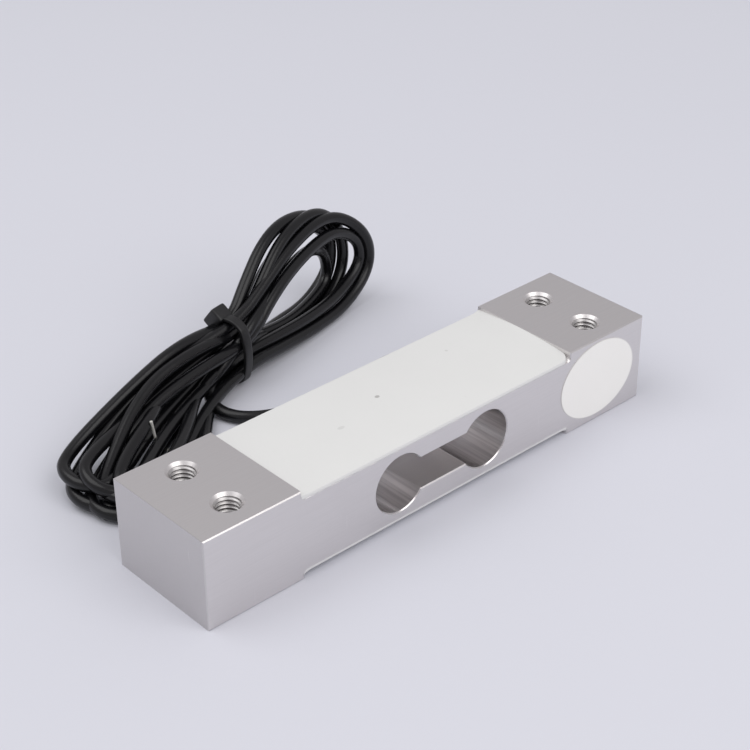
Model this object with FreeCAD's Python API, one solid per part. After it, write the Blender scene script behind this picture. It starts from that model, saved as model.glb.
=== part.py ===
"""Single point load cell: an aluminium binocular bar with four strain gauges under white silicone and a tied cable.

The bar lies along X with its middle at the origin, +Z is up, and its underside is at z = 0. The cable leaves the back
face (+Y) and lies behind the bar. One STEP file per piece goes to parts/. Lengths are in millimetres.
"""

import FreeCAD
import Part
import math
import os

# ---- Bar
BAR_LENGTH = 130.0
BAR_WIDTH = 30.0
BAR_HEIGHT = 22.0
PAD_LENGTH = 25.0  # mounting pad at each end, at full height
RECESS_DEPTH = 2.0  # step down from a pad to the gauge floor, above and below
RECESS_ROOT = 1.0  # radius that the cutter leaves at the foot of the step
EDGE_BREAK = 0.25

# ---- Binocular cut-out
BORE_RADIUS = 7.0
BORE_SPACING = 25.4
SLOT_HEIGHT = 8.0

# ---- Tapped holes, modelled at the thread's major radius
THREAD_RADIUS = 3.0
HOLE_SPACING = 15.0
HOLE_FROM_END = 12.0
COUNTERSINK_RADIUS = 3.65

# ---- Wire passage through the bar and cable hole in its back face
PASSAGE_X = 30.0
PASSAGE_RADIUS = 2.6
CABLE_HOLE_OFFSET = 1.0  # the cable hole's axis is this much further out than the passage's
CABLE_HOLE_RADIUS = 2.2

# ---- Silicone
POTTING_EDGE = 0.6  # thickness at the bar's sides
POTTING_CROWN = 0.8  # how much thicker it is along the middle
SEAL_DEPTH = 6.0
SEAL_PROUD = 0.6
SEAL_COLLAR_RADIUS = 3.4

# ---- Strain gauges
CARRIER_LENGTH = 9.0
CARRIER_WIDTH = 5.4
CARRIER_THICKNESS = 0.12
FOIL_THICKNESS = 0.05
GRID_STRANDS = 8
GRID_PITCH = 0.36
GRID_LINE = 0.2
GRID_LENGTH = 4.4
TAB_LENGTH = 1.6
TAB_WIDTH = 1.1
TAB_INSET = 0.4  # from the tab's outer end to the carrier's end
RIBBON_WIDTH = 0.5
RIBBON_THICKNESS = 0.1

# ---- Terminal boards and compensation resistors
BOARD_LENGTH = 9.2
BOARD_WIDTH = 12.4
STRIP_LENGTH = 6.4
STRIP_WIDTH = 9.0
SOLDER_PAD = 0.9
SOLDER_PAD_INSET = 0.4
RESISTOR_LENGTH = 5.0
RESISTOR_WIDTH = 3.0
RESISTOR_THICKNESS = 0.3
RESISTOR_LEG = 0.5
RESISTOR_LEG_LENGTH = 0.6

# ---- Wires inside the bar
WIRE_SIDES = 8
BRIDGE_WIRE_RADIUS = 0.15
BRIDGE_WIRE_PITCH = 1.6  # across the passage
BRIDGE_WIRE_STAGGER = 0.8  # how far the middle wire stands back along the bar
BRIDGE_LANES = (-3.2, 3.1, 3.7)  # where each wire runs beside the gauges
CONDUCTOR_RADIUS = 0.36
CONDUCTOR_PITCH = 0.76  # in the cable
CONDUCTOR_PASSAGE_PITCH = 1.0  # in the passage
CONDUCTOR_LANES = (-5.3, -4.3, 4.3, 5.3)
CONDUCTOR_LIFT = 0.5  # from the gauge floor to a conductor's underside where it crosses the bridge wires
CONDUCTOR_COLOURS = ("green", "black", "red", "white")
WIRE_TURN = 5.0  # distance over which a wire swings out from the passage to its lane

# ---- Blank oval label
LABEL_LENGTH = 24.7
LABEL_WIDTH = 19.5
LABEL_THICKNESS = 0.12
LABEL_FROM_END = 15.25
LABEL_CENTRE_Z = 11.3

# ---- Cable
CABLE_RADIUS = 1.55
JACKET_INSIDE = 5.0  # how far the jacket runs on inside the bar
LEAD_ROUTE = (
    (31.0, 10.0, 11.0),
    (31.0, 21.0, 11.0),
    (25.5, 29.8, 7.2),
    (13.0, 32.6, 2.8),
    (-1.5, 33.8, 1.6),
    (-12.4, 39.2, 1.6),
    (-15.4, 47.2, 1.8),
    (-12.3, 55.0, 3.4),
    (-5.0, 59.0, 5.6),
)
ARC_SHARE = 0.45  # share of the shorter run that an arc takes up

# ---- Hank: the cable's long turns, drawn in by a tie
HANK_X = 0.0
HANK_Y = 60.0
HANK_TURN = 12.0  # degrees from the bar's length
HANK_SECTIONS = (
    # station, sideways, height, half width, half height
    (-65.0, -8.5, 3.2, 4.5, 3.0),
    (-59.0, -8.0, 5.0, 9.5, 5.0),
    (-42.0, -7.5, 7.4, 11.0, 7.4),
    (-26.0, -5.5, 8.0, 9.5, 8.0),
    (-12.0, -3.8, 8.6, 6.0, 8.4),
    (-3.0, -3.1, 9.3, 4.8, 8.2),
    (8.0, -2.2, 10.6, 5.0, 10.4),
    (22.0, -0.8, 14.2, 5.6, 14.1),
    (36.0, 0.0, 15.8, 6.4, 15.7),
    (48.0, -2.0, 13.6, 6.4, 13.0),
    (56.5, -3.5, 10.6, 3.4, 6.5),
)
HANK_SIDES = 16
EYE_OUTLINE = (
    # station, height
    (9.0, 9.6),
    (22.0, 7.4),
    (37.0, 7.6),
    (44.0, 12.5),
    (41.0, 20.0),
    (32.0, 20.6),
    (20.0, 15.6),
)
LEFT_EYE_OUTLINE = (
    # station, sideways
    (-17.0, -7.0),
    (-30.0, -6.6),
    (-43.0, -7.2),
    (-50.0, -10.0),
    (-43.0, -13.4),
    (-30.0, -12.6),
)

# ---- Cable tie
TIE_STATION = -3.0
TIE_SIDEWAYS = -3.1
TIE_WIDTH = 2.6
TIE_THICKNESS = 1.0
TIE_CENTRE_HEIGHT = 9.3
TIE_HALF_WIDTH = 4.6  # inside
TIE_HALF_HEIGHT = 8.0  # inside
TIE_HEAD_LENGTH = 4.8
TIE_HEAD_WIDTH = 4.6
TIE_HEAD_HEIGHT = 3.6
TIE_HEAD_ANGLE = 52.0  # degrees round the bundle from its back towards its top

# ---- Conductors at the cable's stripped end, where they stand out of the hank
TAIL_RADIUS = 0.35
TAIL_ROUTES = {
    "green": ((-30.2, 53.6, 7.2), (-32.8, 56.6, 9.2), (-35.5, 57.2, 8.6)),
    "black": ((-29.0, 54.6, 8.2), (-30.0, 58.0, 10.4), (-33.0, 59.3, 9.0)),
    "red": ((-27.2, 53.6, 8.2), (-27.4, 57.4, 11.0), (-30.0, 59.4, 10.0)),
    "white": ((-30.0, 38.9, 3.6), (-32.8, 40.9, 1.2), (-35.6, 41.9, 2.6), (-36.7, 42.1, 10.4)),
}

# ---- Worked out from the sizes above
HALF_LENGTH = BAR_LENGTH / 2
HALF_WIDTH = BAR_WIDTH / 2
TOP_FLOOR = BAR_HEIGHT - RECESS_DEPTH
BOTTOM_FLOOR = RECESS_DEPTH
MIDDLE = BAR_HEIGHT / 2
RECESS_END = HALF_LENGTH - PAD_LENGTH
CABLE_X = PASSAGE_X + CABLE_HOLE_OFFSET
GAUGE_X = BORE_SPACING / 2
FOIL_TOP = CARRIER_THICKNESS + FOIL_THICKNESS

UP = FreeCAD.Vector(0, 0, 1)
ALONG_X = FreeCAD.Vector(1, 0, 0)
ALONG_Y = FreeCAD.Vector(0, 1, 0)


def save(name, shape):
    """Write one piece to its own STEP file."""
    shape.exportStep("parts/" + name + ".step")
    return shape


def block(x_range, y_range, z_range):
    """A box between two values along each axis."""
    size = [high - low for low, high in (x_range, y_range, z_range)]
    return Part.makeBox(*size, FreeCAD.Vector(x_range[0], y_range[0], z_range[0]))


def joined(shapes):
    """One solid from several that touch or overlap."""
    return shapes[0].multiFuse(shapes[1:]).removeSplitter()


def upside_down(shape):
    """The shape turned over about the bar's middle line, for the pieces of the lower recess."""
    turned = shape.copy()
    turned.rotate(FreeCAD.Vector(0, 0, MIDDLE), ALONG_X, 180)
    return turned


# ---- Bar


def stepped_profile():
    """The bar's side view: two pads with a shallow recess between them, above and below."""
    outer = block((-HALF_LENGTH, HALF_LENGTH), (-HALF_WIDTH, HALF_WIDTH), (0, BAR_HEIGHT))
    over = block(
        (-RECESS_END, RECESS_END), (-BAR_WIDTH, BAR_WIDTH), (TOP_FLOOR, BAR_HEIGHT + RECESS_DEPTH)
    )
    roots = [
        edge
        for edge in over.Edges
        if edge.BoundBox.ZMax < TOP_FLOOR + EDGE_BREAK and edge.BoundBox.XLength < EDGE_BREAK
    ]
    over = over.makeFillet(RECESS_ROOT, roots)
    return outer.cut([over, upside_down(over)])


def binocular_cut():
    """Two bores through the bar's width, joined by a slot."""
    bores = [
        Part.makeCylinder(BORE_RADIUS, 2 * BAR_WIDTH, FreeCAD.Vector(x, -BAR_WIDTH, MIDDLE), ALONG_Y)
        for x in (-GAUGE_X, GAUGE_X)
    ]
    half_slot = SLOT_HEIGHT / 2
    slot = block(
        (-GAUGE_X, GAUGE_X), (-BAR_WIDTH, BAR_WIDTH), (MIDDLE - half_slot, MIDDLE + half_slot)
    )
    return joined([*bores, slot])


def tapped_hole(x, y):
    """A through hole for a thread, countersunk at both faces."""
    depth = COUNTERSINK_RADIUS - THREAD_RADIUS
    centre = FreeCAD.Vector(x, y, 0)
    bore = Part.makeCylinder(THREAD_RADIUS, BAR_HEIGHT, centre)
    foot = Part.makeCone(COUNTERSINK_RADIUS, THREAD_RADIUS, depth, centre)
    mouth = Part.makeCone(
        THREAD_RADIUS, COUNTERSINK_RADIUS, depth, FreeCAD.Vector(x, y, BAR_HEIGHT - depth)
    )
    return joined([bore, foot, mouth])


def wire_ways():
    """The upright wire passage between the recesses, and the cable hole that meets it from the back."""
    passage = Part.makeCylinder(PASSAGE_RADIUS, BAR_HEIGHT, FreeCAD.Vector(PASSAGE_X, 0, 0))
    cable_hole = Part.makeCylinder(
        CABLE_HOLE_RADIUS, BAR_WIDTH, FreeCAD.Vector(CABLE_X, 0, MIDDLE), ALONG_Y
    )
    return [passage, cable_hole]


def spring_body():
    """The machined bar, with its sharp side edges broken."""
    bar = stepped_profile().cut(binocular_cut())
    side_edges = [
        edge
        for edge in bar.Edges
        if edge.BoundBox.YLength < EDGE_BREAK
        and abs(abs(edge.BoundBox.YMin) - HALF_WIDTH) < EDGE_BREAK
        and edge.BoundBox.ZLength + edge.BoundBox.XLength > 4 * EDGE_BREAK
    ]
    bar = bar.makeChamfer(EDGE_BREAK, side_edges)
    holes = [
        tapped_hole(end * (HALF_LENGTH - HOLE_FROM_END), side * HOLE_SPACING / 2)
        for end in (-1, 1)
        for side in (-1, 1)
    ]
    return bar.cut(holes + wire_ways())


# ---- Wires


def rounded_route(points):
    """Straight runs through the points, joined by tangent arcs as large as the runs allow."""
    corners = [FreeCAD.Vector(*point) for point in points]
    edges = []
    start = corners[0]
    for before, corner, after in zip(corners, corners[1:], corners[2:]):
        back = (before - corner).normalize()
        ahead = (after - corner).normalize()
        half_turn = (math.pi - back.getAngle(ahead)) / 2
        shorter = min((before - corner).Length, (after - corner).Length)
        radius = ARC_SHARE * shorter / math.tan(half_turn)
        print("cord bend radius", round(radius, 1), "mm")
        reach = radius * math.tan(half_turn)
        first = corner + back * reach
        last = corner + ahead * reach
        inward = (back + ahead).normalize()
        middle = corner + inward * (radius / math.cos(half_turn) - radius)
        edges.append(Part.LineSegment(start, first).toShape())
        edges.append(Part.Arc(first, middle, last).toShape())
        start = last
    edges.append(Part.LineSegment(start, corners[-1]).toShape())
    return Part.Wire(edges)


def tube(points, radius):
    """A round cord of the given radius along a rounded route."""
    spine = rounded_route(points)
    heading = FreeCAD.Vector(*points[1]) - FreeCAD.Vector(*points[0])
    ring = Part.Wire(Part.makeCircle(radius, FreeCAD.Vector(*points[0]), heading))
    return spine.makePipeShell([ring], True, False)


def folded_wire(points, radius):
    """A wire cast into the silicone: straight many-sided runs that meet at mitred corners."""
    corners = [FreeCAD.Vector(*point) for point in points]
    heading = FreeCAD.Rotation(UP, corners[1] - corners[0])
    rim = [
        corners[0] + heading.multVec(FreeCAD.Vector(math.cos(angle), math.sin(angle), 0)) * radius
        for angle in (2 * math.pi * (k + 0.5) / WIRE_SIDES for k in range(WIRE_SIDES))
    ]
    ring = Part.makePolygon([*rim, rim[0]])
    mitred = 1
    return Part.makePolygon(corners).makePipeShell([ring], True, False, mitred)


# ---- Strain gauges


def carrier():
    """The film under one top gauge, lying on the upper gauge floor."""
    half_length = CARRIER_LENGTH / 2
    half_width = CARRIER_WIDTH / 2
    film = block(
        (-half_length, half_length),
        (-half_width, half_width),
        (TOP_FLOOR, TOP_FLOOR + CARRIER_THICKNESS),
    )
    return film


def foil(x_range, y_range):
    """A rectangle of etched foil on a carrier or a board."""
    low = TOP_FLOOR + CARRIER_THICKNESS
    return block(x_range, y_range, (low, low + FOIL_THICKNESS))


def tab_centre():
    """Where the middle of a gauge's solder tab is, from the gauge's centre. The tabs are at its +X end."""
    x = CARRIER_LENGTH / 2 - TAB_INSET - TAB_LENGTH / 2
    y = (GRID_STRANDS - 1) * GRID_PITCH / 2 + (TAB_WIDTH - GRID_LINE) / 2
    return x, y


def grid():
    """The folded foil line of one gauge: parallel strands, end loops, and two tabs at the +X end."""
    tab_x, tab_y = tab_centre()
    right = tab_x - TAB_LENGTH / 2
    left = right - GRID_LENGTH
    half_line = GRID_LINE / 2
    strand_y = [(k - (GRID_STRANDS - 1) / 2) * GRID_PITCH for k in range(GRID_STRANDS)]
    pieces = [foil((left, right), (y - half_line, y + half_line)) for y in strand_y]
    for k, (low, high) in enumerate(zip(strand_y, strand_y[1:])):
        loop = (left, left + GRID_LINE) if k % 2 == 0 else (right - GRID_LINE, right)
        pieces.append(foil(loop, (low - half_line, high + half_line)))
    for side in (-1, 1):
        inner = side * strand_y[-1] - side * half_line
        outer = inner + side * TAB_WIDTH
        pieces.append(foil((right, right + TAB_LENGTH), (min(inner, outer), max(inner, outer))))
    return joined(pieces)


def ribbons(board_length):
    """The two flat leads of one gauge, from its tabs to the solder pads at the end of the board."""
    tab_x, tab_y = tab_centre()
    start = tab_x - TAB_LENGTH / 4
    stop = GAUGE_X - board_length / 2 + SOLDER_PAD_INSET + SOLDER_PAD
    low = TOP_FLOOR + FOIL_TOP
    return Part.makeCompound(
        [
            block(
                (start, stop),
                (side * tab_y - RIBBON_WIDTH / 2, side * tab_y + RIBBON_WIDTH / 2),
                (low, low + RIBBON_THICKNESS),
            )
            for side in (-1, 1)
        ]
    )


def at_gauge(shape, side):
    """A gauge's piece, made round the origin with its leads towards +X, set over the bore on one side."""
    placed = shape.copy()
    if side > 0:
        placed.rotate(FreeCAD.Vector(0, 0, 0), UP, 180)
    placed.translate(FreeCAD.Vector(side * GAUGE_X, 0, 0))
    return placed


# ---- Boards and resistors


def solder_pad(x, y):
    """A square solder pad on a board."""
    half = SOLDER_PAD / 2
    return foil((x - half, x + half), (y - half, y + half))


def board(length, width, wire_lanes):
    """A flexible board with pads for the gauges' ribbons at both ends and one for each wire."""
    half_length = length / 2
    half_width = width / 2
    film = block(
        (-half_length, half_length),
        (-half_width, half_width),
        (TOP_FLOOR, TOP_FLOOR + CARRIER_THICKNESS),
    )
    tab_y = tab_centre()[1]
    ribbon_x = half_length - SOLDER_PAD_INSET - SOLDER_PAD / 2
    pads = [solder_pad(end * ribbon_x, side * tab_y) for end in (-1, 1) for side in (-1, 1)]
    for lane in wire_lanes:
        half = CONDUCTOR_RADIUS
        pads.append(foil((0, ribbon_x), (lane - half, lane + half)))
    return joined([film, *pads])


def resistor(side):
    """A foil resistor on the gauge floor beside the board, whose two legs reach the board's edge."""
    near = BOARD_WIDTH / 2 + RESISTOR_LEG_LENGTH
    far = near + RESISTOR_WIDTH
    z_range = (TOP_FLOOR, TOP_FLOOR + RESISTOR_THICKNESS)
    half_length = RESISTOR_LENGTH / 2
    pieces = [block((-half_length, half_length), (near, far), z_range)]
    for end in (-1, 1):
        outer = end * half_length
        inner = end * (half_length - RESISTOR_LEG)
        legs = (min(outer, inner), max(outer, inner))
        pieces.append(
            block(legs, (BOARD_WIDTH / 2, near), (TOP_FLOOR, TOP_FLOOR + CARRIER_THICKNESS))
        )
    made = joined(pieces)
    if side < 0:
        made = made.mirror(FreeCAD.Vector(0, 0, 0), ALONG_Y)
    return made


# ---- Wires inside the bar


def bridge_wires():
    """Three fine wires from the bottom board, up the passage and on to the top board."""
    upper = TOP_FLOOR + FOIL_TOP + BRIDGE_WIRE_RADIUS
    lower = BOTTOM_FLOOR - FOIL_TOP - BRIDGE_WIRE_RADIUS
    wires = []
    for k, lane in enumerate(BRIDGE_LANES):
        x = PASSAGE_X - CABLE_HOLE_OFFSET - (k % 2) * BRIDGE_WIRE_STAGGER
        y = (k - 1) * BRIDGE_WIRE_PITCH
        points = [
            (SOLDER_PAD, lane, lower),
            (x, lane, lower),
            (x, y, lower),
            (x, y, upper),
            (x, lane, upper),
            (SOLDER_PAD, lane, upper),
        ]
        wires.append(folded_wire(points, BRIDGE_WIRE_RADIUS))
    return Part.makeCompound(wires)


def conductor(k):
    """One insulated conductor, from the jacket's end to the passage, up it and over to the top board."""
    place = k - (len(CONDUCTOR_LANES) - 1) / 2
    y = place * CONDUCTOR_PASSAGE_PITCH
    lane = CONDUCTOR_LANES[k]
    high = TOP_FLOOR + CONDUCTOR_LIFT + CONDUCTOR_RADIUS
    seat = TOP_FLOOR + FOIL_TOP + CONDUCTOR_RADIUS
    start_z = MIDDLE + place * CONDUCTOR_PITCH
    points = [
        (CABLE_X, HALF_WIDTH - JACKET_INSIDE, start_z),
        (CABLE_X, y, start_z),
        (CABLE_X, y, high),
        (CABLE_X - WIRE_TURN, lane, high),
        (BOARD_LENGTH, lane, seat),
        (SOLDER_PAD, lane, seat),
    ]
    return folded_wire(points, CONDUCTOR_RADIUS)


# ---- Silicone


def potting(inner):
    """The silicone over the upper gauge floor: thickest along the middle, and cast round what lies in it."""
    edge = TOP_FLOOR + POTTING_EDGE
    left = FreeCAD.Vector(-RECESS_END, -HALF_WIDTH, edge)
    right = FreeCAD.Vector(-RECESS_END, HALF_WIDTH, edge)
    crest = FreeCAD.Vector(-RECESS_END, 0, edge + POTTING_CROWN)
    left_foot = FreeCAD.Vector(-RECESS_END, -HALF_WIDTH, TOP_FLOOR)
    right_foot = FreeCAD.Vector(-RECESS_END, HALF_WIDTH, TOP_FLOOR)
    outline = Part.Wire(
        [
            Part.LineSegment(left_foot, left).toShape(),
            Part.Arc(left, crest, right).toShape(),
            Part.LineSegment(right, right_foot).toShape(),
            Part.LineSegment(right_foot, left_foot).toShape(),
        ]
    )
    layer = Part.Face(outline).extrude(ALONG_X * (2 * RECESS_END))
    long_edges = [
        part
        for part in layer.Edges
        if part.BoundBox.ZMin > edge - EDGE_BREAK and part.BoundBox.XLength > RECESS_END
    ]
    layer = layer.makeFillet(POTTING_EDGE / 2, long_edges)
    return layer.cut([stepped_profile(), *inner])


def cable_seal():
    """The silicone plug round the cable in its hole, with a low collar outside."""
    mouth = FreeCAD.Vector(CABLE_X, HALF_WIDTH, MIDDLE)
    collar_radius = (SEAL_COLLAR_RADIUS**2 + SEAL_PROUD**2) / (2 * SEAL_PROUD)
    ball = Part.makeSphere(
        collar_radius, FreeCAD.Vector(CABLE_X, HALF_WIDTH + SEAL_PROUD - collar_radius, MIDDLE)
    )
    cap = Part.makeCylinder(SEAL_COLLAR_RADIUS, SEAL_PROUD, mouth, ALONG_Y).common(ball)
    inner_end = FreeCAD.Vector(CABLE_X, HALF_WIDTH - JACKET_INSIDE, MIDDLE)
    plug = Part.makeCylinder(CABLE_HOLE_RADIUS, JACKET_INSIDE, inner_end, ALONG_Y)
    cable = Part.makeCylinder(CABLE_RADIUS, 2 * SEAL_DEPTH, inner_end, ALONG_Y)
    return joined([cap, plug]).cut(cable)


# ---- Label


def oval_label():
    """A thin blank oval on the front face."""
    centre = FreeCAD.Vector(HALF_LENGTH - LABEL_FROM_END, -HALF_WIDTH, LABEL_CENTRE_Z)
    oval = Part.Ellipse(
        centre + ALONG_X * (LABEL_LENGTH / 2), centre + UP * (LABEL_WIDTH / 2), centre
    )
    return Part.Face(Part.Wire(oval.toShape())).extrude(ALONG_Y * -LABEL_THICKNESS)


# ---- Hank and tie


def on_hank(station, sideways, height):
    """A point given along the hank, across it towards its back, and above the floor."""
    angle = math.radians(HANK_TURN)
    return FreeCAD.Vector(
        HANK_X + station * math.cos(angle) - sideways * math.sin(angle),
        HANK_Y + station * math.sin(angle) + sideways * math.cos(angle),
        height,
    )


def hank_plane(station, sideways, height):
    """A placement whose XY plane lies across the hank, X towards its back and Y up."""
    along = on_hank(1, 0, 0) - on_hank(0, 0, 0)
    across = on_hank(0, 1, 0) - on_hank(0, 0, 0)
    turn = FreeCAD.Rotation(across, UP, along, "ZXY")
    return FreeCAD.Placement(on_hank(station, sideways, height), turn)


def strap_outline(half_width, half_height, placement):
    """The face inside an upright strap: two half circles joined by straight sides."""
    straight = half_height - half_width
    corner = {
        (across, up): FreeCAD.Vector(across * half_width, up * straight, 0)
        for across in (-1, 1)
        for up in (-1, 1)
    }
    ring = Part.Wire(
        [
            Part.Arc(corner[-1, 1], FreeCAD.Vector(0, half_height, 0), corner[1, 1]).toShape(),
            Part.LineSegment(corner[1, 1], corner[1, -1]).toShape(),
            Part.Arc(corner[1, -1], FreeCAD.Vector(0, -half_height, 0), corner[-1, -1]).toShape(),
            Part.LineSegment(corner[-1, -1], corner[-1, 1]).toShape(),
        ]
    )
    ring.Placement = placement
    return Part.Face(ring)


def hank_section(half_width, half_height, placement):
    """A flat-sided oval across the hank."""
    corners = []
    for k in range(HANK_SIDES):
        angle = 2 * math.pi * (k + 0.5) / HANK_SIDES
        corner = FreeCAD.Vector(half_width * math.cos(angle), half_height * math.sin(angle), 0)
        corners.append(placement.multVec(corner))
    return Part.makePolygon([*corners, corners[0]])


def cable_tie():
    """A one-piece tie: its strap round the bundle and its head at the upper back."""
    middle = hank_plane(TIE_STATION - TIE_WIDTH / 2, TIE_SIDEWAYS, TIE_CENTRE_HEIGHT)
    along = middle.Rotation.multVec(UP)
    outer = strap_outline(TIE_HALF_WIDTH + TIE_THICKNESS, TIE_HALF_HEIGHT + TIE_THICKNESS, middle)
    inner = strap_outline(TIE_HALF_WIDTH, TIE_HALF_HEIGHT, middle)
    band = outer.extrude(along * TIE_WIDTH)
    angle = math.radians(TIE_HEAD_ANGLE)
    sideways = TIE_SIDEWAYS + TIE_HALF_WIDTH * math.cos(angle)
    height = TIE_CENTRE_HEIGHT + TIE_HALF_HEIGHT * math.sin(angle)
    lean = math.degrees(math.atan2(TIE_HALF_HEIGHT * math.cos(angle), -TIE_HALF_WIDTH * math.sin(angle)))
    head = Part.makeBox(
        TIE_HEAD_LENGTH,
        TIE_HEAD_HEIGHT,
        TIE_HEAD_WIDTH,
        FreeCAD.Vector(-TIE_HEAD_LENGTH / 2, -TIE_HEAD_HEIGHT, -TIE_HEAD_WIDTH / 2),
    )
    head.rotate(FreeCAD.Vector(0, 0, 0), UP, lean)
    head.Placement = hank_plane(TIE_STATION, sideways, height).multiply(head.Placement)
    hollow = inner.extrude(along * (TIE_HEAD_WIDTH + TIE_WIDTH))
    hollow.translate(along * (-TIE_HEAD_WIDTH / 2))
    return joined([band, head]).cut(hollow)


def hank(tie):
    """The outer shape of the wound turns: drawn in at the tie, with an eye open on each side of it."""
    rings = [
        hank_section(half_width, half_height, hank_plane(station, sideways, height))
        for station, sideways, height, half_width, half_height in HANK_SECTIONS
    ]
    bundle = Part.makeLoft(rings, True, True)
    reach = BAR_WIDTH
    front = [on_hank(station, -reach, height) for station, height in EYE_OUTLINE]
    through = on_hank(0, 2 * reach, 0) - on_hank(0, 0, 0)
    eye = Part.Face(Part.makePolygon([*front, front[0]])).extrude(through)
    under = [on_hank(station, sideways, 0) for station, sideways in LEFT_EYE_OUTLINE]
    left_eye = Part.Face(Part.makePolygon([*under, under[0]])).extrude(UP * reach)
    above_floor = block((-BAR_LENGTH, BAR_LENGTH), (0, BAR_LENGTH), (0, BAR_LENGTH))
    return bundle.common(above_floor).cut([eye, left_eye, tie])


def outside(cord, wound):
    """The stretch of a cord that is clear of what it runs into."""
    return max(cord.cut(wound).Solids, key=lambda piece: piece.Volume)


def tails():
    """The short stretches of conductor that stand out of the hank at the cable's stripped end."""
    return {name: tube(route, TAIL_RADIUS) for name, route in TAIL_ROUTES.items()}


# ---- All pieces


def main():
    os.makedirs("parts", exist_ok=True)
    body = save("spring_body", spring_body())

    top_inner = []
    bottom_inner = []
    for side, side_name in ((-1, "left"), (1, "right")):
        for level, inner, turned, length in (
            ("top", top_inner, False, BOARD_LENGTH),
            ("bottom", bottom_inner, True, STRIP_LENGTH),
        ):
            for kind, shape in (
                ("gauge", carrier()),
                ("grid", grid()),
                ("ribbons", ribbons(length)),
            ):
                placed = at_gauge(shape, side)
                if turned:
                    placed = upside_down(placed)
                inner.append(save(kind + "_" + level + "_" + side_name, placed))

    top_inner.append(save("terminal_board", board(BOARD_LENGTH, BOARD_WIDTH, BRIDGE_LANES + CONDUCTOR_LANES)))
    top_inner.append(save("span_resistor", resistor(1)))
    top_inner.append(save("zero_resistor", resistor(-1)))
    strip_lanes = [-lane for lane in BRIDGE_LANES]
    bottom_inner.append(
        save("bottom_terminal_strip", upside_down(board(STRIP_LENGTH, STRIP_WIDTH, strip_lanes)))
    )
    wires = save("bridge_wires", bridge_wires())
    top_inner.append(wires)
    bottom_inner.append(wires)
    for k, colour in enumerate(CONDUCTOR_COLOURS):
        top_inner.append(save("conductor_" + colour, conductor(k)))

    save("top_potting", potting(top_inner))
    save("bottom_potting", upside_down(potting([upside_down(shape) for shape in bottom_inner])))
    save("cable_seal", cable_seal())
    save("oval_label", oval_label())

    tie = save("cable_tie", cable_tie())
    wound = save("cable_hank", hank(tie))
    lead = tube(LEAD_ROUTE, CABLE_RADIUS)
    save("cable_lead", outside(lead, [wound, tie]))
    for colour, tail in tails().items():
        save("tail_" + colour, outside(tail, [wound]))
    length = rounded_route(LEAD_ROUTE).Length
    section = math.pi * CABLE_RADIUS**2
    print("lead length", round(length, 1), "mm, volume over section times length", round(lead.Volume / (section * length), 4))
    print("bar volume", round(body.Volume), "cubic mm")


main()
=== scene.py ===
"""Single point load cell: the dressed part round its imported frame.

The part's own frame has +X along the bar, +Y towards its back and +Z up from its underside.
Materials, the camera and the lamps are in metres. The tables of the cable, threads, silicone and tie are in
millimetres.
"""

import math

import bmesh
import bpy
import numpy as np
from mathutils import Matrix


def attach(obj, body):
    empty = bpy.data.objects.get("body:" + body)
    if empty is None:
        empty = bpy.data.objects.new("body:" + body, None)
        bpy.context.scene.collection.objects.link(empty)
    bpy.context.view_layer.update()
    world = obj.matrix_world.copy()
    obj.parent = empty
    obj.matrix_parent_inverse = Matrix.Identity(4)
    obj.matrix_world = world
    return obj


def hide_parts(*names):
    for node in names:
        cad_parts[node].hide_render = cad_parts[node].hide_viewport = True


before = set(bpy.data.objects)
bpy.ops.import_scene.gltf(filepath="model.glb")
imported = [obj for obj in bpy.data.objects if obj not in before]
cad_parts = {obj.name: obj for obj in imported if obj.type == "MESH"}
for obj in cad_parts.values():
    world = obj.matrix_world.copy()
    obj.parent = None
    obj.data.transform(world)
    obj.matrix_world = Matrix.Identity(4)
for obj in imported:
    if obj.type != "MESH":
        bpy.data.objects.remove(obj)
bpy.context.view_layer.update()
MM = 0.001


# ---- Shader maths

SOFT_RIM = 0.4  # where a spot begins to fade, as its squared distance over that of its rim


class Field:
    """A shader socket with arithmetic: an expression on fields adds its Math nodes."""

    def __init__(self, tree, socket):
        self.tree = tree
        self.socket = socket

    def math(self, operation, *others, flip=False):
        values = [self, *others]
        if flip:
            values.reverse()
        return self.tree.add("ShaderNodeMath", {"operation": operation}, values)

    def __add__(self, other):
        return self.math("ADD", other)

    def __radd__(self, other):
        return self.math("ADD", other, flip=True)

    def __sub__(self, other):
        return self.math("SUBTRACT", other)

    def __rsub__(self, other):
        return self.math("SUBTRACT", other, flip=True)

    def __mul__(self, other):
        return self.math("MULTIPLY", other)

    def __rmul__(self, other):
        return self.math("MULTIPLY", other, flip=True)

    def __truediv__(self, other):
        return self.math("DIVIDE", other)

    def __rtruediv__(self, other):
        return self.math("DIVIDE", other, flip=True)

    def __pow__(self, other):
        return self.math("POWER", other)

    def __rpow__(self, other):
        return self.math("POWER", other, flip=True)

    def __abs__(self):
        return self.math("ABSOLUTE")

    def clip(self, low, high):
        """0 below low, 1 above high, and smooth between."""
        values = {"Value": self, "From Min": low, "From Max": high}
        return self.tree.add("ShaderNodeMapRange", {"interpolation_type": "SMOOTHSTEP"}, values)


class Nodes:
    """A node tree that nodes are added to, and the fields made in it."""

    def __init__(self, tree):
        self.tree = tree
        tree.nodes.clear()

    def add(self, kind, settings, values, output=0):
        """One node: its settings first, then the values or links of its sockets, by name or in order."""
        node = self.tree.nodes.new(kind)
        for key, value in settings.items():
            setattr(node, key, value)
        named = values.items() if isinstance(values, dict) else enumerate(values)
        for key, value in named:
            self.feed(node.inputs[key], value)
        if isinstance(output, tuple):
            return [Field(self, node.outputs[key]) for key in output]
        return Field(self, node.outputs[output])

    def feed(self, socket, value):
        """A field linked to a socket, or a value written to it."""
        if isinstance(value, Field):
            self.tree.links.new(value.socket, socket)
        elif socket.type == "RGBA":
            socket.default_value = (*value, 1.0)
        else:
            socket.default_value = value


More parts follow.
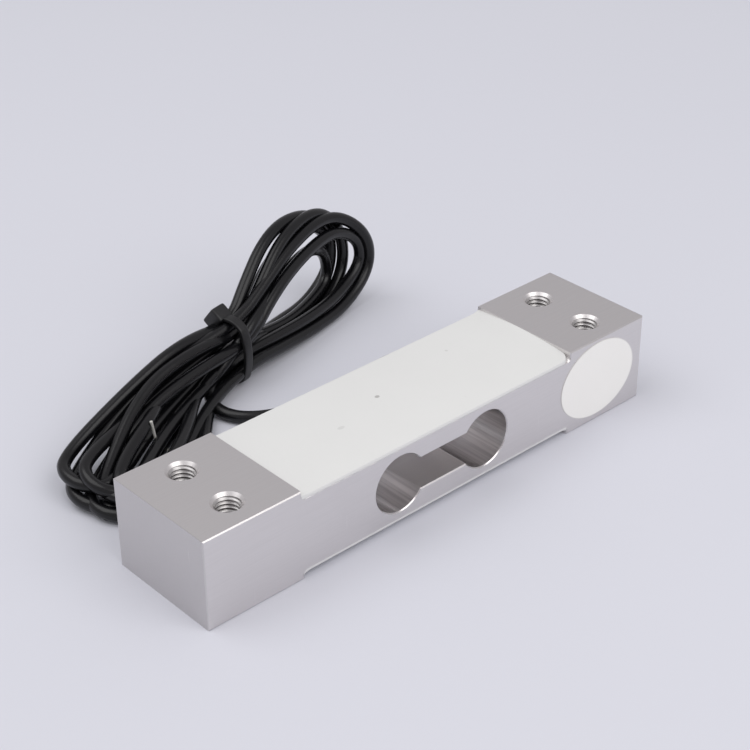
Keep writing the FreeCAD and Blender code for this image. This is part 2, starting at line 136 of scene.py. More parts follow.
class Finish(Nodes):
    """A material built from fields, with one Principled surface."""

    def __init__(self, name, **constants):
        self.material = bpy.data.materials.new(name)
        self.material.use_nodes = True
        super().__init__(self.material.node_tree)
        self.surface = self.add("ShaderNodeBsdfPrincipled", {}, {}, "BSDF")
        self.add("ShaderNodeOutputMaterial", {}, {"Surface": self.surface}, ())
        for constant, value in constants.items():
            self.set(constant.replace("_", " ").title().replace("Ior", "IOR"), value)
        self.place = self.add("ShaderNodeTexCoord", {}, {}, "Object")

    def set(self, socket, value):
        """A value or a field into one of the surface's sockets."""
        self.feed(self.surface.socket.node.inputs[socket], value)

    def parts(self):
        """The three object coordinates."""
        return self.add("ShaderNodeSeparateXYZ", {}, [self.place], (0, 1, 2))

    def noise(self, scale, detail=2.0, rough=0.5):
        """Smooth noise from 0 to 1. The scale is in cycles per metre, or one such number along each axis."""
        if isinstance(scale, tuple):
            drawn = self.add("ShaderNodeVectorMath", {"operation": "MULTIPLY"}, [self.place, scale])
            values = {"Vector": drawn, "Scale": 1.0}
        else:
            values = {"Vector": self.place, "Scale": scale}
        return self.add("ShaderNodeTexNoise", {}, {**values, "Detail": detail, "Roughness": rough})

    def mix(self, factor, first, second):
        """The first colour where factor is 0 and the second where it is 1."""
        return self.add("ShaderNodeMix", {"data_type": "RGBA"}, {0: factor, 6: first, 7: second}, 2)

    def relief(self, height, depth):
        """A height field from 0 to 1 as relief of that depth in metres."""
        self.set("Normal", self.add("ShaderNodeBump", {}, {"Height": height, "Distance": depth}))
        return self


def tinted(colour, share, top=math.inf):
    """A colour times a share, with no part of it above the top."""
    return tuple(min(top, share * part) for part in colour)


def near(centre, size, across, up):
    """1 inside an ellipse about a point and 0 outside it, with a soft rim."""
    total = ((across - centre[0]) / size[0]) ** 2 + ((up - centre[1]) / size[1]) ** 2
    return 1 - total.clip(SOFT_RIM, 1.0)


# ---- Meshes

MERGE_DISTANCE = 1e-7
FLAT_DISTANCE = 1e-8


def skin(name, grids, finish, replaced=()):
    """One piece from grids of points.

    Each grid is (points of shape rows x columns x 3, wrap rows, wrap columns). It closes where it wraps.
    """
    vertices = []
    faces = []
    start = 0
    for points, wrap_rows, wrap_columns in grids:
        rows, columns = points.shape[:2]
        index = start + np.arange(rows * columns).reshape(rows, columns)
        if wrap_rows:
            index = np.concatenate([index, index[:1]], 0)
        if wrap_columns:
            index = np.concatenate([index, index[:, :1]], 1)
        quads = np.stack([index[:-1, :-1], index[:-1, 1:], index[1:, 1:], index[1:, :-1]], -1).reshape(-1, 4)
        vertices.append(points.reshape(-1, 3))
        faces.append(quads)
        start += rows * columns
    mesh = bpy.data.meshes.new(name)
    mesh.from_pydata(np.concatenate(vertices).tolist(), [], np.concatenate(faces).tolist())
    close(mesh)
    piece = bpy.data.objects.new(name, mesh)
    bpy.context.collection.objects.link(piece)
    mesh.materials.append(finish.material)
    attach(piece, "root")
    if replaced:
        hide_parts(*replaced)


def close(mesh):
    """Merge doubled points, drop faces without area and turn all faces outwards."""
    work = bmesh.new()
    work.from_mesh(mesh)
    bmesh.ops.remove_doubles(work, verts=work.verts, dist=MERGE_DISTANCE)
    bmesh.ops.dissolve_degenerate(work, edges=work.edges, dist=FLAT_DISTANCE)
    bmesh.ops.recalc_face_normals(work, faces=work.faces)
    work.to_mesh(mesh)
    work.free()
    mesh.shade_smooth()


# ---- Finishes

BORE_X = 0.0127
BORE_Z = 0.011
BORE_WALL = 0.00706
HALF_WIDTH = 0.015
HALF_LENGTH = 0.065
EDGE_BREAK = 0.00025
BAR_COLOUR = (0.80, 0.775, 0.77)
BAR_ROUGHNESS = 0.30
DARK_SHARE = 0.80
# share of the bar's colour for the painted highlight in the bores and for the real scratches
BRIGHT_SHARE = 1.16
# share of the bar's colour on the end faces: painted shade
END_SHADE_SHARE = 0.72
# cycles per metre along x, y and z
FEED_MARKS = (70, 2600, 2600)
DRILL_MARKS = (1500, 30, 1500)
SCRATCHES = (900, 900, 40)
MACHINED_RELIEF = 0.000006


def machined(name, base=BAR_COLOUR, roughness=BAR_ROUGHNESS):
    """Machined aluminium: marks along the bar and drilling streaks in the bores. The bore walls are painted
    brighter as a painted highlight, and the broken edges and the end faces are painted darker as painted
    shade.
    """
    f = Finish(name, metallic=1.0)
    x, y, z = f.parts()
    along = f.noise(FEED_MARKS, 3, 0.6)
    drilled = f.noise(DRILL_MARKS, 3, 0.6)
    cloud = f.noise(55, 3)
    from_bore = ((abs(x) - BORE_X) ** 2 + (z - BORE_Z) ** 2) ** 0.5
    in_bore = 1 - from_bore.clip(BORE_WALL, BORE_WALL + EDGE_BREAK)
    side = abs(y)
    past_flat = side.clip(HALF_WIDTH - EDGE_BREAK, HALF_WIDTH - 0.9 * EDGE_BREAK)
    past_face = side.clip(HALF_WIDTH - 0.1 * EDGE_BREAK, HALF_WIDTH - 0.02 * EDGE_BREAK)
    broken = past_flat * (1 - past_face)
    dark = tinted(base, DARK_SHARE)
    bright = tinted(base, BRIGHT_SHARE, 1.0)
    colour = f.mix(along * 0.35 + cloud * 0.25, base, dark)
    # the end faces are painted darker: painted shade where less light falls on them
    end_shade = abs(x).clip(HALF_LENGTH - EDGE_BREAK, HALF_LENGTH - 0.1 * EDGE_BREAK)
    colour = f.mix(end_shade * 0.7, colour, tinted(base, END_SHADE_SHARE))
    # the bore walls are painted brighter as a painted highlight; the darker drilling streaks over them are
    # real marks
    colour = f.mix(in_bore * drilled.clip(0.35, 0.7) * 0.8, f.mix(in_bore * 0.8, colour, bright), dark)
    scratch = f.noise(SCRATCHES, 4, 0.7).clip(0.68, 0.74) * 0.25
    # the broken edges are painted darker as painted shade along the chamfers; the bright scratches are real
    # wear
    f.set("Base Color", f.mix(scratch, f.mix(broken * 0.8, colour, dark), bright))
    f.set("Roughness", roughness + along * 0.10 + cloud * 0.06 - in_bore * 0.08 - broken * 0.08)
    return f.relief(along * (1 - in_bore) + drilled * in_bore, MACHINED_RELIEF)


SILICONE_COLOUR = (0.745, 0.742, 0.740)
SILICONE_CLOUD = (0.700, 0.697, 0.694)
DIRT_COLOUR = (0.22, 0.21, 0.20)
SILICONE_RELIEF = 0.00005
# each speck's place on the skin, its size and how much it hides
SPECKS = (
    ((-0.004, 0.002), (0.0007, 0.0006), 0.55),
    ((-0.018, -0.002), (0.0011, 0.0006), 0.16),
    ((0.021, 0.006), (0.0004, 0.0005), 0.2),
)


def silicone(name, specks=SPECKS):
    """Matt white silicone: faint clouding, a settled skin with pits, and dust specks."""
    f = Finish(name, specular_ior_level=0.3)
    x, y, _ = f.parts()
    cloud = f.noise(45, 4, 0.6)
    pits = f.noise(2200, 2)
    colour = f.mix(cloud, SILICONE_COLOUR, SILICONE_CLOUD)
    dirt = f.noise(420, 5, 0.7).clip(0.66, 0.80) * 0.12
    for centre, size, strength in specks:
        dirt = dirt + near(centre, size, x, y) * strength
    f.set("Base Color", f.mix(dirt, colour, DIRT_COLOUR))
    f.set("Roughness", 0.44 + cloud * 0.14)
    return f.relief(cloud * 0.7 + pits * 0.3, SILICONE_RELIEF)


def satin(name, base, roughness=0.3, grain=1800, depth=0.00001, wear=0.25):
    """Moulded or extruded plastic: slight clouding, fine grain and a few rubbed places."""
    f = Finish(name)
    cloud = f.noise(110, 3)
    fine = f.noise(grain, 2)
    rubbed = f.noise(620, 4, 0.7).clip(0.60, 0.78) * wear
    pale = tuple(part + 0.06 * (1 - part) for part in base)
    f.set("Base Color", f.mix(rubbed, f.mix(cloud, base, tinted(base, 0.78)), pale))
    f.set("Roughness", roughness + cloud * 0.1 + rubbed * 0.3)
    return f.relief(fine, depth)


FOIL_LINES = (300, 6000, 6000)
FOIL_RELIEF = 0.000004


def metal_foil(name, base, roughness=0.28):
    """Rolled or drawn metal: fine lines along it, and dull patches."""
    f = Finish(name, metallic=1.0)
    lines = f.noise(FOIL_LINES, 2)
    dull = f.noise(900, 3).clip(0.4, 0.75)
    f.set("Base Color", f.mix(dull * 0.5, base, tinted(base, 0.7)))
    f.set("Roughness", roughness + dull * 0.2 + lines * 0.1)
    return f.relief(lines, FOIL_RELIEF)


FILM_WEAVE = (200, 4000, 4000)
FILM_RELIEF = 0.000006


def film(name, base):
    """Polyimide film: amber, glossy and slightly mottled, with a fine weave of rolling marks."""
    f = Finish(name, coat_weight=0.5, coat_roughness=0.1)
    mottle = f.noise(500, 3)
    f.set("Base Color", f.mix(mottle, base, tinted(base, 0.72)))
    f.set("Roughness", 0.22 + mottle * 0.15)
    return f.relief(f.noise(FILM_WEAVE, 2), FILM_RELIEF)


LABEL_X = 0.04975
LABEL_Z = 0.0113
LABEL_HALF_LENGTH = 0.01235
LABEL_HALF_HEIGHT = 0.00975
VINYL_COLOUR = (0.93, 0.915, 0.89)
VINYL_CLOUD = (0.90, 0.885, 0.86)
CUT_EDGE_COLOUR = (0.42, 0.41, 0.40)
VINYL_RELIEF = 0.000012


def vinyl():
    """The blank label: smooth white vinyl, a little yellowed, with a slight grain and a darker cut edge."""
    f = Finish("label_vinyl", specular_ior_level=0.4)
    x, _, z = f.parts()
    cloud = f.noise(70, 3)
    along = (x - LABEL_X) / LABEL_HALF_LENGTH
    up = (z - LABEL_Z) / LABEL_HALF_HEIGHT
    rim = (along**2 + up**2).clip(0.955, 1.0)
    colour = f.mix(cloud, VINYL_COLOUR, VINYL_CLOUD)
    f.set("Base Color", f.mix(rim * 0.35, colour, CUT_EDGE_COLOUR))
    f.set("Roughness", 0.38 + cloud * 0.12)
    return f.relief(f.noise(1600, 3), VINYL_RELIEF)


def dress(finish, *nodes):
    """A finish on CAD nodes whose shapes stay as they are."""
    for name in nodes:
        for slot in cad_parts[name].material_slots:
            slot.material = finish.material


# ---- Camera, floor and light

CAMERA_AZIMUTH = math.radians(-41.9081)
CAMERA_ELEVATION = math.radians(31.3813)
CAMERA_ROLL = math.radians(-0.6121)
CAMERA_DISTANCE = 0.3977902
CAMERA_SHIFT_RIGHT = -0.0049616
CAMERA_SHIFT_UP = 0.0223411
CAMERA_LENS = 84.577
CAMERA_SENSOR = 36
CAMERA_NEAR = 0.01
CAMERA_FAR = 20
FLOOR_SIZE = 3.0
FLOOR_COLOUR = (0.652, 0.654, 0.722)
# the paper's colour where painted light brightens it
FLOOR_PAINTED_LIGHT = (0.677, 0.679, 0.747)
BACKDROP_COLOUR = (0.50, 0.49, 0.51)
WORLD_COLOUR = (1, 1, 1)
WORLD_STRENGTH = 0.60
# each lamp's place, size, power in watts and colour
LAMPS = {
    "key": ((-0.4, 0.35, 1.0), 0.9, 3.9, (1, 1, 1)),
    "fill": ((0.15, -0.8, 0.85), 1.0, 5.2, (1.0, 0.99, 0.98)),
}


def level_right(back):
    """The level direction to the right of what looks away from `back`."""
    right = np.cross([0, 0, 1], back)
    return right / np.linalg.norm(right)


def stand(name, data, right, up, back, place):
    """An object for the data, at a place and with its axes to the right, up and back."""
    turned = np.eye(4)
    turned[:3, :4] = np.stack([right, up, back, place], 1)
    piece = bpy.data.objects.new(name, data)
    bpy.context.collection.objects.link(piece)
    piece.matrix_world = Matrix(turned.tolist())
    return piece


def camera():
    """The camera turned by azimuth, elevation and roll, stepped back, right and up from the bar's middle."""
    flat = math.cos(CAMERA_ELEVATION)
    back = np.array(
        [math.sin(CAMERA_AZIMUTH) * flat, -math.cos(CAMERA_AZIMUTH) * flat, math.sin(CAMERA_ELEVATION)]
    )
    level = level_right(back)
    upright = np.cross(back, level)
    right = math.cos(CAMERA_ROLL) * level + math.sin(CAMERA_ROLL) * upright
    up = -math.sin(CAMERA_ROLL) * level + math.cos(CAMERA_ROLL) * upright
    place = back * CAMERA_DISTANCE + right * CAMERA_SHIFT_RIGHT + up * CAMERA_SHIFT_UP
    data = bpy.data.cameras.new("camera")
    data.lens = CAMERA_LENS
    data.sensor_width = CAMERA_SENSOR
    data.clip_start = CAMERA_NEAR
    data.clip_end = CAMERA_FAR
    bpy.context.scene.camera = stand("camera", data, right, up, back, place)


def surroundings():
    """The backdrop's colour for the camera and for what mirrors it, and a plain light for the rest."""
    world = bpy.data.worlds.new("studio")
    bpy.context.scene.world = world
    world.use_nodes = True
    studio = Nodes(world.node_tree)
    seen = studio.add("ShaderNodeBackground", {}, {"Color": BACKDROP_COLOUR})
    light = studio.add("ShaderNodeBackground", {}, {"Color": WORLD_COLOUR, "Strength": WORLD_STRENGTH})
    rays = ("Is Camera Ray", "Is Glossy Ray", "Is Transmission Ray")
    direct, mirrored, through = studio.add("ShaderNodeLightPath", {}, {}, rays)
    shown = direct.math("MAXIMUM", mirrored).math("MAXIMUM", through)
    both = studio.add("ShaderNodeMixShader", {}, [shown, light, seen])
    studio.add("ShaderNodeOutputWorld", {}, {"Surface": both}, ())


def lamp(name, place, size, power, colour):
    """A square soft light that faces the origin."""
    data = bpy.data.lights.new(name, "AREA")
    data.size = size
    data.energy = power
    data.color = colour
    back = np.array(place, float)
    back /= np.linalg.norm(back)
    right = level_right(back)
    stand(name, data, right, np.cross(back, right), back, place)


def floor():
    """A square sheet under the part."""
    half = FLOOR_SIZE / 2
    corners = [(-half, -half, 0), (half, -half, 0), (half, half, 0), (-half, half, 0)]
    mesh = bpy.data.meshes.new("floor")
    mesh.from_pydata(corners, [], [(0, 1, 2, 3)])
    sheet = bpy.data.objects.new("floor", mesh)
    bpy.context.collection.objects.link(sheet)
    f = Finish("paper", roughness=0.9, specular_ior_level=0.1)
    # broad lighter and darker patches on the paper: painted light and shade
    shade = f.noise(4, 1)
    f.set("Base Color", f.mix(shade, FLOOR_COLOUR, FLOOR_PAINTED_LIGHT))
    mesh.materials.append(f.material)


# ---- Cable

CABLE_RADIUS = 0.00155  # in metres
CABLE_ROUNDNESS = 5
CABLE_STEPS = 8
LEAD_ROUTE = (
    (31.0, 10.0, 11.0),
    (31.0, 21.0, 11.0),
    (25.5, 29.8, 7.2),
    (13.0, 32.6, 2.8),
    (-1.5, 33.8, 1.6),
    (-12.4, 39.2, 1.6),
    (-15.4, 47.2, 1.8),
    (-12.3, 53.6, 4.0),
    (-6.8, 53.4, 8.6),
)
HANK_X = 0.0
HANK_Y = 60.0
HANK_TURN = math.radians(12.0)

# each turn's right lobe: crest station, crest height, crest sideways, reach, end height, end sideways,
# sideways and height of the way back, share of the rise made by a third of the way to the crest
RIGHT_LOBES = (
    (31, 19.5, 0.4, 42.8, 6.8, 3.2, -0.6, 4.2, 0.44),
    (29, 28.2, 4.8, 46.5, 11, 4.6, 1.0, 1.7, 0.52),
    (38.5, 25.6, 1.0, 52.5, 10, -3.5, -5.4, 1.7, 0.42),
    (39, 21.4, -0.6, 50.5, 11, -2.0, -4.2, 4.8, 0.62),
    (34, 24.0, 3.8, 46.0, 10, 5.0, 4.2, 1.8, 0.46),
    (35, 27.6, 2.8, 48.4, 10, 2.0, -2.2, 1.7, 0.46),
)
# each turn's left lobe: reach, sideways of the run out, sideways and height where it folds,
# sideways and height of the fold's middle, sideways and height of the way back, height just before the tie
LEFT_LOBES = (
    (62, -6.0, -14.6, 4.8, -7.0, 5.6, 1.0, 12.4, 16.6),
    (63.4, -9.6, -18.2, 1.7, -10.6, 2.4, 1.1, 9.6, 14.2),
    (63.4, -16.2, -23.6, 1.7, -16.2, 2.2, -5.0, 9.6, 11.6),
    (61.5, -9.6, -19.6, 4.8, -12.8, 6.6, -2.4, 8.4, 10.6),
    (60.5, -15.4, -23.2, 4.8, -17.0, 4.8, -2.4, 13.0, 15.4),
    (58.5, -20.0, -26.8, 1.7, -20.0, 4.4, -6.6, 10.0, 8.0),
)
CABLE_END = (-27.0, -1.4, 8.0)
# sideways and height where each turn passes the tie, above and below
UPPER_LANES = ((-5.8, 13.8), (-0.3, 13.9), (-3.1, 15.7), (-5.9, 10.8), (-0.3, 10.9), (-3.1, 12.4))
LOWER_LANES = ((-0.3, 7.8), (-3.1, 9.3), (-5.9, 4.7), (-3.1, 6.2), (-0.3, 4.7), (-3.1, 2.9))
FOLD_CORNER = math.tan(math.pi / 8)
# two points on the rise to a crest: share of the way along, share of the way sideways
RISE_EARLY = (0.3, 0.36)
RISE_LATE = (0.64, 0.78)
RISE_GAIN = 0.48  # share of the rise made between them
RISE_MOST = 0.95
CREST_LIFT = 1  # a control point stands this far over the crest that it makes
LOBE_PAST = 0.5  # and this far past the lobe's end
# from the crest to the lobe's end: shares of the way along, sideways and down
SHOULDER = (0.62, 0.35, 0.12)
END_UPPER = 0.42  # share of the way from the end up to the crest
END_LOWER = 0.35  # share of the way from the end down to the way back
BACK_STATIONS = (0.78, 0.5, 0.25)  # shares of the right reach
OUT_STATIONS = (0.25, 0.58)  # shares of the left reach, on the way out
HIGH_STATIONS = (0.58, 0.28)  # and on the way back


def on_hank(station, sideways, height):
    """Points given along the hank, across it towards its back and above the floor."""
    x = HANK_X + station * math.cos(HANK_TURN) - sideways * math.sin(HANK_TURN)
    y = HANK_Y + station * math.sin(HANK_TURN) + sideways * math.cos(HANK_TURN)
    return np.stack([x, y, height], -1)


def fold(reach, out_side, out_height, side, height):
    """Control points of the half circle that turns a run back on itself at the hank's left end.

    With radius r and the middle at station c, they are the corners of the octagon round the circle:
    (c - r t, -1), (c - r, -t), (c - r, t), (c - r t, 1), where t = tan 22.5 degrees. The second number is
    -1 at the run out, 0 at the fold's middle and 1 at the run back.
    """
    radius = math.hypot(side - out_side, height - out_height)
    middle = radius - reach
    return [
        (middle - radius * back, side + share * (side - out_side), height + share * (height - out_height))
        for back, share in ((FOLD_CORNER, -1), (1, -FOLD_CORNER), (1, FOLD_CORNER), (FOLD_CORNER, 1))
    ]


def between(first, last, share):
    """The value that lies this share of the way from the first to the last."""
    return first + share * (last - first)


def turn_points(right, left, upper, lower, next_upper):
    """One turn's control points: from the tie up over the right lobe's crest, round its end and back low.

    From there it runs through the tie, out low on the left, round the fold and back high to the next turn.
    Each point is (station from the tie, sideways, height).
    """
    crest, crest_height, crest_side, reach, end_height, end_side, back_side, back_height, share = right
    left_reach, run_side, out_side, out_height, fold_side, fold_height, *high = left
    high_side, high_height, last_height = high
    upper_side, upper_height = upper
    lower_side, lower_height = lower
    late_share = min(share + RISE_GAIN, RISE_MOST)
    points = [
        (0, upper_side, upper_height),
        (
            RISE_EARLY[0] * crest,
            between(upper_side, crest_side, RISE_EARLY[1]),
            between(upper_height, crest_height, share),
        ),
        (
            RISE_LATE[0] * crest,
            between(upper_side, crest_side, RISE_LATE[1]),
            between(upper_height, crest_height, late_share),
        ),
        (crest, crest_side, crest_height + CREST_LIFT),
        (
            between(crest, reach, SHOULDER[0]),
            between(crest_side, end_side, SHOULDER[1]),
            between(crest_height, end_height, SHOULDER[2]),
        ),
        (reach + LOBE_PAST, end_side, between(end_height, crest_height, END_UPPER)),
        (reach + LOBE_PAST, end_side, between(end_height, back_height, END_LOWER)),
        (BACK_STATIONS[0] * reach, 0.5 * (end_side + back_side), back_height),
        (BACK_STATIONS[1] * reach, back_side, 0.9 * back_height + 0.1 * lower_height),
        (
            BACK_STATIONS[2] * reach,
            0.6 * back_side + 0.4 * lower_side,
            0.5 * (back_height + lower_height),
        ),
        (0, lower_side, lower_height),
        (
            -OUT_STATIONS[0] * left_reach,
            0.92 * lower_side + 0.08 * out_side,
            0.5 * (lower_height + out_height),
        ),
        (-OUT_STATIONS[1] * left_reach, run_side, out_height),
        *fold(left_reach, out_side, out_height, fold_side, fold_height),
        (-HIGH_STATIONS[0] * left_reach, high_side, high_height),
    ]
    if next_upper:
        points.append((-HIGH_STATIONS[1] * left_reach, 0.5 * (high_side + next_upper[0]), last_height))
    else:
        points.append(CABLE_END)
    return on_hank(*np.array(points, float).T)


def cable(finish):
    """The whole cable as one spline: its free lead, then the hank's turns one after the other."""
    lobes = zip(RIGHT_LOBES, LEFT_LOBES, UPPER_LANES, LOWER_LANES, (*UPPER_LANES[1:], None))
    turns = [turn_points(*lobe) for lobe in lobes]
    points = np.concatenate([np.array(LEAD_ROUTE, float), *turns])
    data = bpy.data.curves.new("cable", "CURVE")
    data.dimensions = "3D"
    data.bevel_depth = CABLE_RADIUS
    data.bevel_resolution = CABLE_ROUNDNESS
    data.resolution_u = CABLE_STEPS
    data.use_fill_caps = True
    spline = data.splines.new("NURBS")
    spline.points.add(len(points) - 1)
    for point, place in zip(spline.points, points):
        point.co = (*(place * MM), 1)
    spline.order_u = 3
    spline.use_endpoint_u = True
    piece = bpy.data.objects.new("cable", data)
    bpy.context.collection.objects.link(piece)
    data.materials.append(finish.material)
    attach(piece, "root")
    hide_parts("cable_lead", "cable_hank")
    return piece


# ---- Threads

HOLE_X = 53.0
HOLE_Y = 7.5
THREAD_OUTER = 3.0
THREAD_GAP = 0.01
THREAD_DEPTH = 0.52
THREAD_PITCH = 1.0
THREAD_SHARPNESS = 1.25  # the ridge's height before its crest is cut off at 1
THREAD_FADE = 0.6
THREAD_FADED = 0.05
THREAD_LOW = 0.65
THREAD_HIGH = 21.35
THREAD_AROUND = 72
THREAD_PER_PITCH = 8


def thread(name, x, y, finish):
    """The thread inside a tapped hole: a liner whose inner wall follows a helix.

    At angle a and height z the ridge stands at r = outer - gap - depth * v, where v rises and falls once per
    pitch of z - pitch * a / 2 pi, is cut off flat at its crest and fades out at both mouths.
    """
    rows = int((THREAD_HIGH - THREAD_LOW) * THREAD_PER_PITCH / THREAD_PITCH) + 1
    height = np.linspace(THREAD_LOW, THREAD_HIGH, rows)[:, None]
    angle = np.linspace(0, 2 * math.pi, THREAD_AROUND, endpoint=False)[None, :]
    phase = (height / THREAD_PITCH - angle / (2 * math.pi)) % 1.0
    ridge = np.clip(THREAD_SHARPNESS * (1 - np.abs(2 * phase - 1)), 0, 1)
    to_mouth = np.minimum(height - THREAD_LOW, THREAD_HIGH - height)
    fading = np.clip(to_mouth / (THREAD_FADE * THREAD_PITCH), THREAD_FADED, 1)
    inner = THREAD_OUTER - THREAD_DEPTH * ridge * fading - THREAD_GAP
    mouths = np.array([THREAD_HIGH, THREAD_LOW])[:, None]
    radius = np.concatenate([inner, np.full((2, THREAD_AROUND), THREAD_OUTER)])
    level = np.broadcast_to(np.concatenate([height, mouths]), radius.shape)
    points = np.stack([x + radius * np.cos(angle), y + radius * np.sin(angle), level], -1)
    skin(name, [(points * MM, True, True)], finish)


# ---- Silicone over the gauges

BAR_HEIGHT = 22.0
GAUGE_FLOOR = 20.0
POTTING_HALF_LENGTH = 40.0
POTTING_HALF_WIDTH = 14.99
POTTING_EDGE = 0.6
POTTING_CROWN = 0.8
POTTING_LIP = 0.3
MENISCUS_HEIGHT = 0.5
MENISCUS_REACH = 0.9
WAVE = 0.05
RIPPLE = 0.03
RAGGED = 0.05
BROKEN_EDGE = 0.25  # the silicone fills the broken edge under it
POTTING_ROWS = 96
POTTING_COLUMNS = 320
CORNER_RADIUS = 2.4


def potting(name, underside, finish, replaced):
    """The silicone poured into a recess, higher along the middle and drawn up the steps at both ends.

    With v from -1 to 1 across and d the distance to the nearer side, the skin stands at
    layer * sqrt(1 - (1 - d / lip)^2) + crown * (1 - v^2). The layer is its edge, plus a meniscus
    height * exp(-e / reach) at distance e from the nearer step, plus slow waves
    |wave * sin(0.21 x + 0.4) * cos(0.19 y) + ripple * sin(0.55 x - 0.3 y)| * (1 - v^2).
    The sides are drawn in by |ragged * sin(0.9 x + 1.3) * sin(0.37 x)|. The front corner at the +X step is
    round, and along both sides the silicone reaches down into the bar's broken edge.
    """
    u = -np.cos(np.linspace(0, math.pi, POTTING_COLUMNS))[None, :]
    v = -np.cos(np.linspace(0, math.pi, POTTING_ROWS))[:, None]
    x = POTTING_HALF_LENGTH * u
    into_corner = np.clip(x - (POTTING_HALF_LENGTH - CORNER_RADIUS), 0, CORNER_RADIUS)
    front = POTTING_HALF_WIDTH - (CORNER_RADIUS - np.sqrt(CORNER_RADIUS**2 - into_corner**2))
    ragged = np.abs(RAGGED * np.sin(0.9 * x + 1.3) * np.sin(0.37 * x))
    y = np.where(v < 0, v * (front - ragged), v * (POTTING_HALF_WIDTH - ragged))
    to_side = np.where(v < 0, (1 + v) * front, (1 - v) * POTTING_HALF_WIDTH)
    lip = np.sqrt(1 - (1 - np.clip(to_side / POTTING_LIP, 0, 1)) ** 2)
    crown = POTTING_CROWN * (1 - v**2) * np.ones_like(u)
    to_step = POTTING_HALF_LENGTH - np.abs(x)
    meniscus = MENISCUS_HEIGHT * np.exp(-to_step / MENISCUS_REACH)
    waves = WAVE * np.sin(0.21 * x + 0.4) * np.cos(0.19 * y) + RIPPLE * np.sin(0.55 * x - 0.3 * y)
    layer = BROKEN_EDGE + POTTING_EDGE + meniscus + np.abs(waves) * (1 - v**2)
    height = GAUGE_FLOOR - BROKEN_EDGE + lip * layer + crown
    x = np.broadcast_to(x, height.shape)
    top = np.stack([x, y, height], -1)
    under = GAUGE_FLOOR - BROKEN_EDGE * (1 - np.clip(to_side / BROKEN_EDGE, 0, 1))
    foot = np.stack([x, y, np.broadcast_to(under, height.shape)], -1)
    left = np.stack([foot[:, 0], top[:, 0]], 0)
    right = np.stack([foot[:, -1], top[:, -1]], 0)
    grids = [(grid, False, False) for grid in (top, foot, left, right)]
    if underside:
        grids = [(grid * (1, -1, -1) + (0, 0, BAR_HEIGHT), *wrap) for grid, *wrap in grids]
    skin(name, [(grid * MM, *wrap) for grid, *wrap in grids], finish, replaced)


# ---- Cable tie

TIE_STATION = -3.0
TIE_SIDEWAYS = -3.1
TIE_CENTRE_HEIGHT = 9.3
TIE_HALF_WIDTH = 5.1
TIE_HALF_HEIGHT = 8.5
TIE_WIDTH = 2.6
TIE_THICKNESS = 1.0
TIE_STEPS = 180
TIE_FLANK = 1.6  # more makes the straight flanks meet the arcs sooner
TIE_ROUNDNESS = 0.35
HEAD_SIZE = (5.2, 3.9, 4.6)
HEAD_STANDS = 1.3
HEAD_ANGLE = math.radians(52.0)
HEAD_ROUNDNESS = 0.22
RING_STEPS = 24
HEAD_STEPS = 25


def rounded(angle, power):
    """Cosine and sine raised to a power with their signs kept: under 1 it makes a circle a rounded square."""
    c = np.cos(angle)
    s = np.sin(angle)
    return np.sign(c) * np.abs(c) ** power, np.sign(s) * np.abs(s) ** power


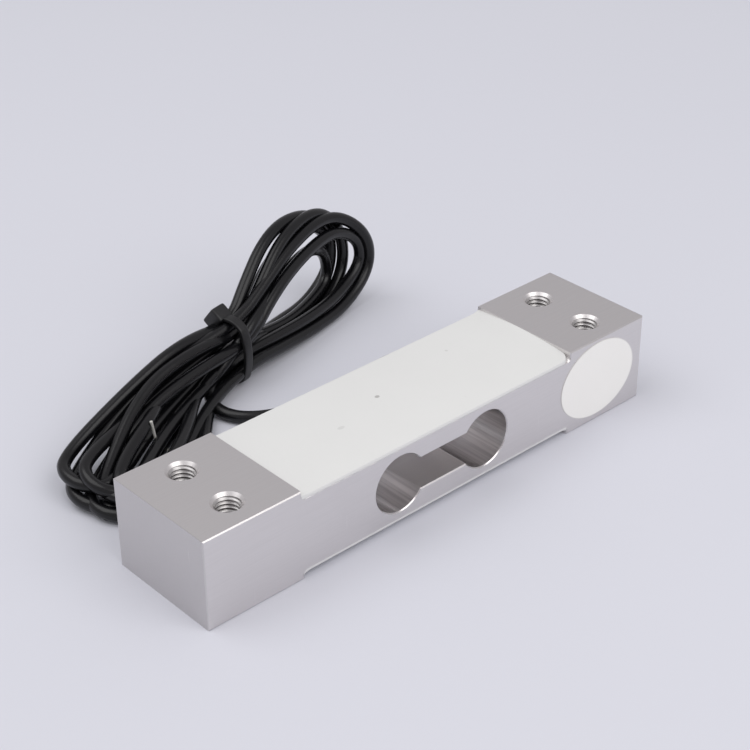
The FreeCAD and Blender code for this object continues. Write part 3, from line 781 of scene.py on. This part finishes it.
def tie(finish):
    """The tie: a flat strap of rounded section round the bundle, and a head at its upper back.

    The strap's middle line is (A cos t, A sin t + S clip(flank * sin t)), where A is its half width and S the
    straight part. Its section is a circle, and its head a ball, made squarer by rounded().
    """
    straight = TIE_HALF_HEIGHT - TIE_HALF_WIDTH
    angle = np.linspace(0, 2 * math.pi, TIE_STEPS, endpoint=False)[:, None]
    out_side = np.cos(angle)
    out_up = np.sin(angle)
    across = TIE_HALF_WIDTH * out_side
    up = TIE_HALF_WIDTH * out_up + straight * np.clip(TIE_FLANK * out_up, -1, 1)
    ring = np.linspace(0, 2 * math.pi, RING_STEPS, endpoint=False)[None, :]
    wide, thick = rounded(ring, TIE_ROUNDNESS)
    lift = 0.5 * TIE_THICKNESS * thick
    station = TIE_STATION + 0.5 * TIE_WIDTH * wide
    strap = on_hank(
        np.broadcast_to(station, (TIE_STEPS, RING_STEPS)),
        TIE_SIDEWAYS + across + lift * out_side,
        TIE_CENTRE_HEIGHT + up + lift * out_up,
    )

    middle_side = TIE_SIDEWAYS + (TIE_HALF_WIDTH + HEAD_STANDS) * math.cos(HEAD_ANGLE)
    middle_up = TIE_CENTRE_HEIGHT + (TIE_HALF_HEIGHT + HEAD_STANDS) * math.sin(HEAD_ANGLE)
    lean = math.atan2(TIE_HALF_HEIGHT * math.cos(HEAD_ANGLE), -TIE_HALF_WIDTH * math.sin(HEAD_ANGLE))
    around, high = rounded(ring, HEAD_ROUNDNESS)
    slope = np.linspace(-math.pi / 2, math.pi / 2, HEAD_STEPS)[:, None]
    flat, along = rounded(slope, HEAD_ROUNDNESS)
    first = 0.5 * HEAD_SIZE[0] * flat * around
    second = 0.5 * HEAD_SIZE[1] * flat * high
    third = TIE_STATION + 0.5 * HEAD_SIZE[2] * along * np.ones_like(ring)
    head = on_hank(
        third,
        middle_side + first * math.cos(lean) - second * math.sin(lean),
        middle_up + first * math.sin(lean) + second * math.cos(lean),
    )
    grids = [(strap * MM, True, True), (head * MM, False, True)]
    skin("zip_tie", grids, finish, ("cable_tie",))


# ---- Build

bpy.context.scene.view_settings.view_transform = "Standard"
camera()
surroundings()
floor()
for lamp_name, lamp_values in LAMPS.items():
    lamp(lamp_name, *lamp_values)

dress(machined("machined_bar"), "spring_body")
# the threads get a darker copy of the bar's aluminium: painted shade inside the tapped holes
shaded_thread = machined("shaded_thread", (0.56, 0.545, 0.54), 0.27)
for end_name, end in (("left", -HOLE_X), ("right", HOLE_X)):
    for side_name, side in (("front", -HOLE_Y), ("back", HOLE_Y)):
        thread("thread_" + end_name + "_" + side_name, end, side, shaded_thread)

white = silicone("poured_silicone")
potting("silicone_top", False, white, ("top_potting",))
potting("silicone_bottom", True, white, ("bottom_potting",))
dress(silicone("seal_silicone", specks=()), "cable_seal")
dress(vinyl(), "oval_label")

amber = film("carrier_film", (0.62, 0.34, 0.07))
board_amber = film("board_film", (0.55, 0.30, 0.06))
constantan = metal_foil("constantan_foil", (0.66, 0.60, 0.52))
nickel = metal_foil("nickel_foil", (0.62, 0.62, 0.60), 0.34)
bare_copper = metal_foil("bare_copper", (0.80, 0.42, 0.25), 0.24)
for level in ("top", "bottom"):
    for side_name in ("left", "right"):
        gauge = level + "_" + side_name
        dress(amber, "gauge_" + gauge)
        dress(constantan, "grid_" + gauge)
        dress(bare_copper, "ribbons_" + gauge)
dress(board_amber, "terminal_board", "bottom_terminal_strip")
dress(nickel, "span_resistor", "zero_resistor")
dress(bare_copper, "bridge_wires")

insulations = {
    "green": satin("green_wire", (0.06, 0.20, 0.11)),
    "black": satin("black_wire", (0.02, 0.02, 0.02)),
    "red": satin("red_wire", (0.38, 0.03, 0.03)),
    "white": satin("white_wire", (0.62, 0.61, 0.58)),
}
for colour_name, insulation in insulations.items():
    dress(insulation, "conductor_" + colour_name, "tail_" + colour_name)

jacket = satin("cable_jacket", (0.004, 0.004, 0.005), roughness=0.20, grain=2500, depth=0.000012, wear=0.06)
jacket.set("Specular IOR Level", 0.42)
tie(satin("tie_nylon", (0.009, 0.009, 0.010), roughness=0.36, grain=1500))
line = cable(jacket)
